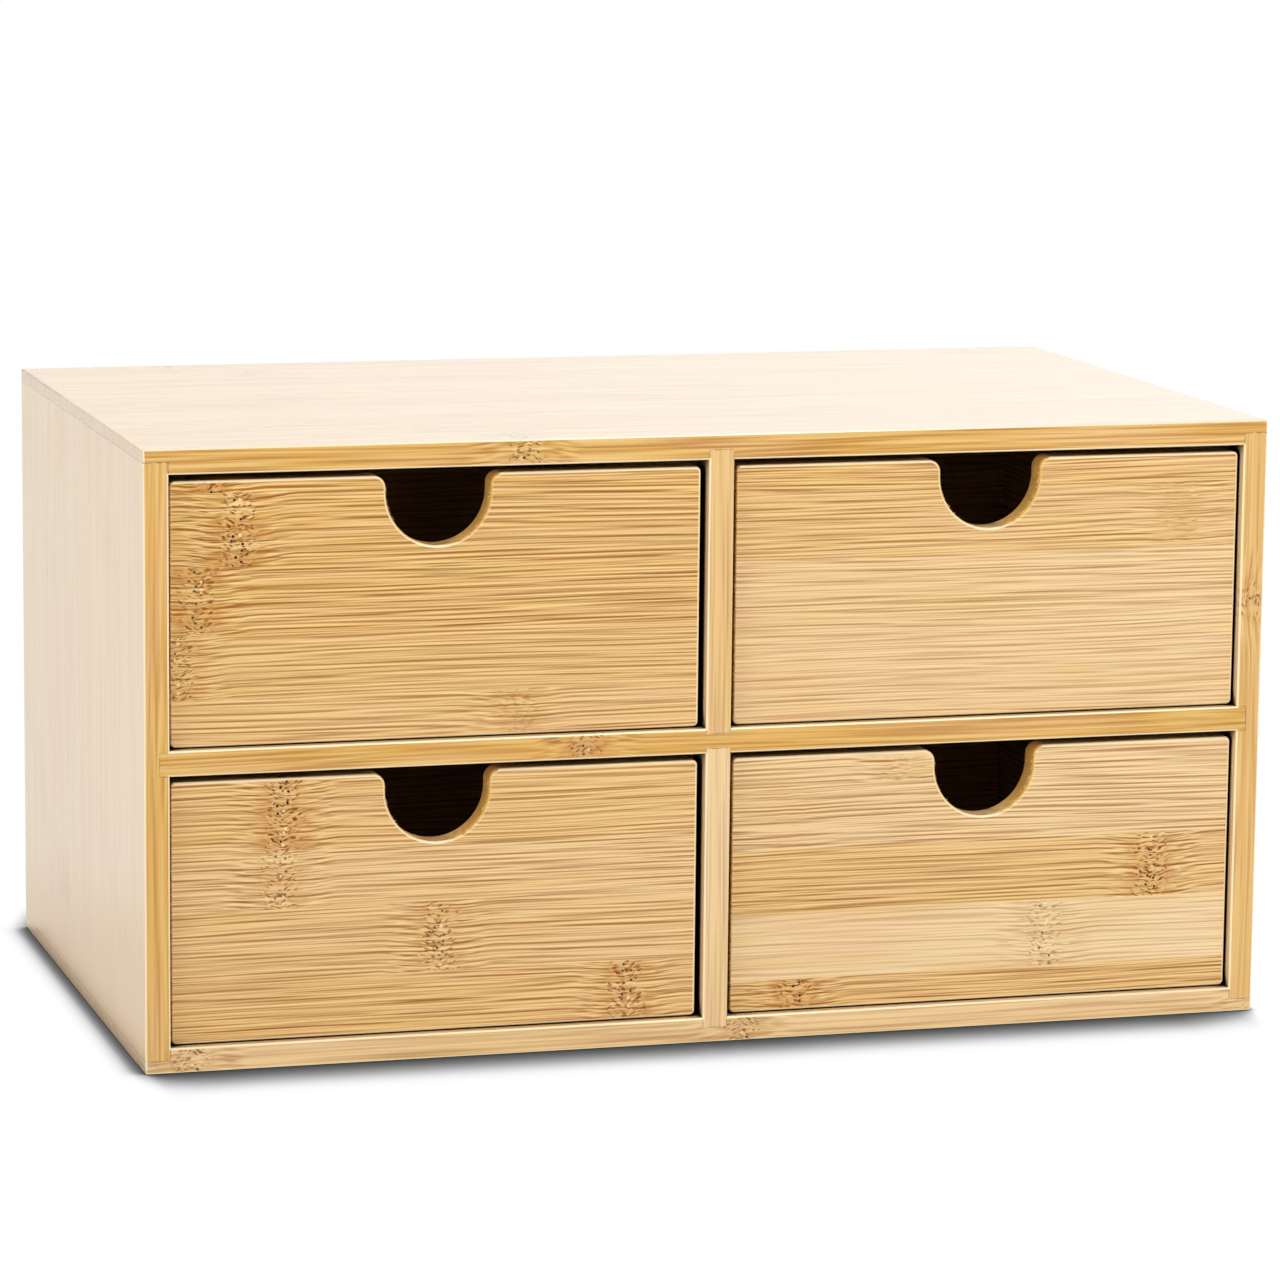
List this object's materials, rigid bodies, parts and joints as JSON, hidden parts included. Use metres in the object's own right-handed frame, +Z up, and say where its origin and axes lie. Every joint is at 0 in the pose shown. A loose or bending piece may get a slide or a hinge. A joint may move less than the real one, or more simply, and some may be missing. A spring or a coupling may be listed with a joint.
{
  "type": "desktop mini drawers",
  "caption": "Desktop chest of glued bamboo board with small drawers that slide out of open-fronted bays, each with a U-shaped finger notch",
  "frame": {"origin": "centre of the footprint, on the surface that the chest stands on", "axes": "+X to the viewer's right along the front, +Y towards the back panel, +Z up; the drawers open towards -Y"},
  "size_m": [0.33, 0.195, 0.175],
  "materials": {
    "bamboo_case": "clear satin lacquer on laminated bamboo board",
    "bamboo_front": "clear satin lacquer on laminated bamboo board with nodes",
    "bamboo_box": "sanded bamboo board"
  },
  "bodies": {
    "case": {"top_panel": "bamboo_case", "bottom_panel": "bamboo_case", "left_side": "bamboo_case", "right_side": "bamboo_case", "shelf": "bamboo_case", "upper_divider": "bamboo_case", "lower_divider": "bamboo_case", "back_panel": "bamboo_case"},
    "upper_left_drawer": {"upper_left_drawer_front": "bamboo_front", "upper_left_drawer_left_side": "bamboo_box", "upper_left_drawer_right_side": "bamboo_box", "upper_left_drawer_back": "bamboo_box", "upper_left_drawer_bottom": "bamboo_box"},
    "upper_right_drawer": {"upper_right_drawer_front": "bamboo_front", "upper_right_drawer_left_side": "bamboo_box", "upper_right_drawer_right_side": "bamboo_box", "upper_right_drawer_back": "bamboo_box", "upper_right_drawer_bottom": "bamboo_box"},
    "lower_left_drawer": {"lower_left_drawer_front": "bamboo_front", "lower_left_drawer_left_side": "bamboo_box", "lower_left_drawer_right_side": "bamboo_box", "lower_left_drawer_back": "bamboo_box", "lower_left_drawer_bottom": "bamboo_box"},
    "lower_right_drawer": {"lower_right_drawer_front": "bamboo_front", "lower_right_drawer_left_side": "bamboo_box", "lower_right_drawer_right_side": "bamboo_box", "lower_right_drawer_back": "bamboo_box", "lower_right_drawer_bottom": "bamboo_box"}
  },
  "joints": [
    {"name": "upper_left_slide", "type": "slide", "parent": "case", "child": "upper_left_drawer", "axis": [0, -1, 0], "range_m": [0, 0.15]},
    {"name": "upper_right_slide", "type": "slide", "parent": "case", "child": "upper_right_drawer", "axis": [0, -1, 0], "range_m": [0, 0.15]},
    {"name": "lower_left_slide", "type": "slide", "parent": "case", "child": "lower_left_drawer", "axis": [0, -1, 0], "range_m": [0, 0.15]},
    {"name": "lower_right_slide", "type": "slide", "parent": "case", "child": "lower_right_drawer", "axis": [0, -1, 0], "range_m": [0, 0.15]}
  ]
}
